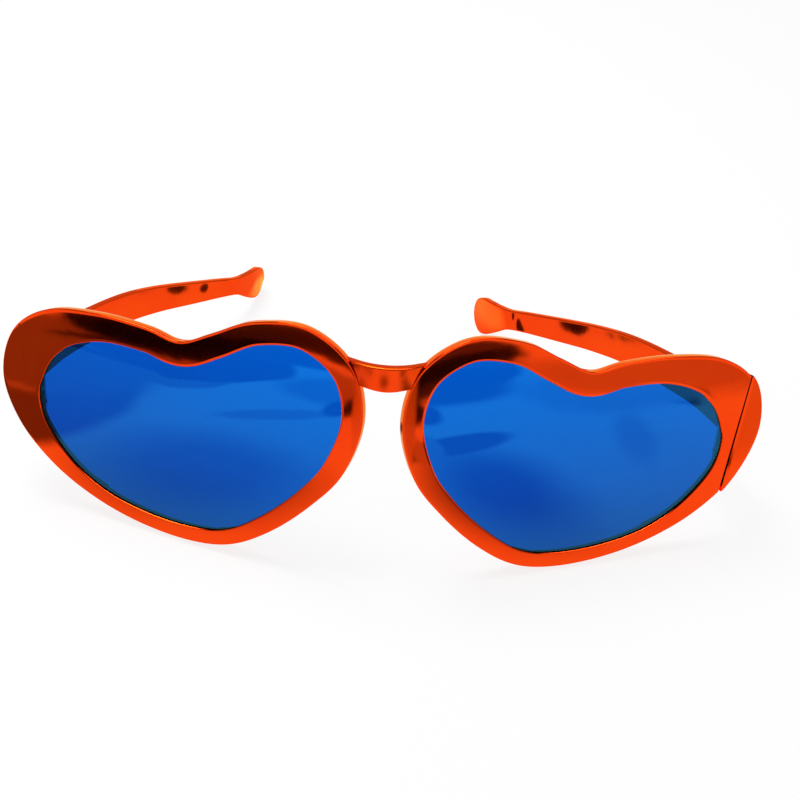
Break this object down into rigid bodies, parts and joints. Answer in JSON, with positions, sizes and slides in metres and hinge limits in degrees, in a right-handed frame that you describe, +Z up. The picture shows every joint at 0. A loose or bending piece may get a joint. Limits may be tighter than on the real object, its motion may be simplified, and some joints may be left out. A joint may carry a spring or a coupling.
{
  "type": "heart shaped sunglasses",
  "caption": "Oversized heart shaped sunglasses in orange-red metallised plastic with blue lenses, a bowed bridge and folding temples that sweep inward to spoon shaped tips.",
  "frame": {"origin": "middle of the bounding box, on the ground that the hearts and a temple tip stand on", "axes": "+X to the right as seen from the front, along the width; +Y back along the temples; +Z up. The glasses lean back, so the plane of the front is tilted about X."},
  "size_m": [0.2532, 0.157, 0.0857],
  "materials": {
    "shell": "orange-red metallised, mirror gloss",
    "lens": "blue tint, gloss",
    "hinge_metal": "bright"
  },
  "bodies": {
    "front": {"front_frame": "shell", "lens_left": "lens", "lens_right": "lens", "front_leaf_left": "hinge_metal", "front_leaf_right": "hinge_metal", "hinge_screw_left": "hinge_metal", "hinge_screw_right": "hinge_metal", "front_leaf_screws_left": "hinge_metal", "front_leaf_screws_right": "hinge_metal"},
    "temple_left": {"temple_left": "shell", "temple_leaf_left": "hinge_metal", "temple_leaf_screws_left": "hinge_metal"},
    "temple_right": {"temple_right": "shell", "temple_leaf_right": "hinge_metal", "temple_leaf_screws_right": "hinge_metal"}
  },
  "joints": [
    {"name": "hinge_left", "type": "hinge", "parent": "front", "child": "temple_left", "pos_m": [-0.11592, -0.03913, 0.03992], "axis": [0, -0.2503, -0.9682], "range_deg": [0, 72]},
    {"name": "hinge_right", "type": "hinge", "parent": "front", "child": "temple_right", "pos_m": [0.11532, -0.03913, 0.03992], "axis": [0, 0.2503, 0.9682], "range_deg": [-9, 55]}
  ]
}
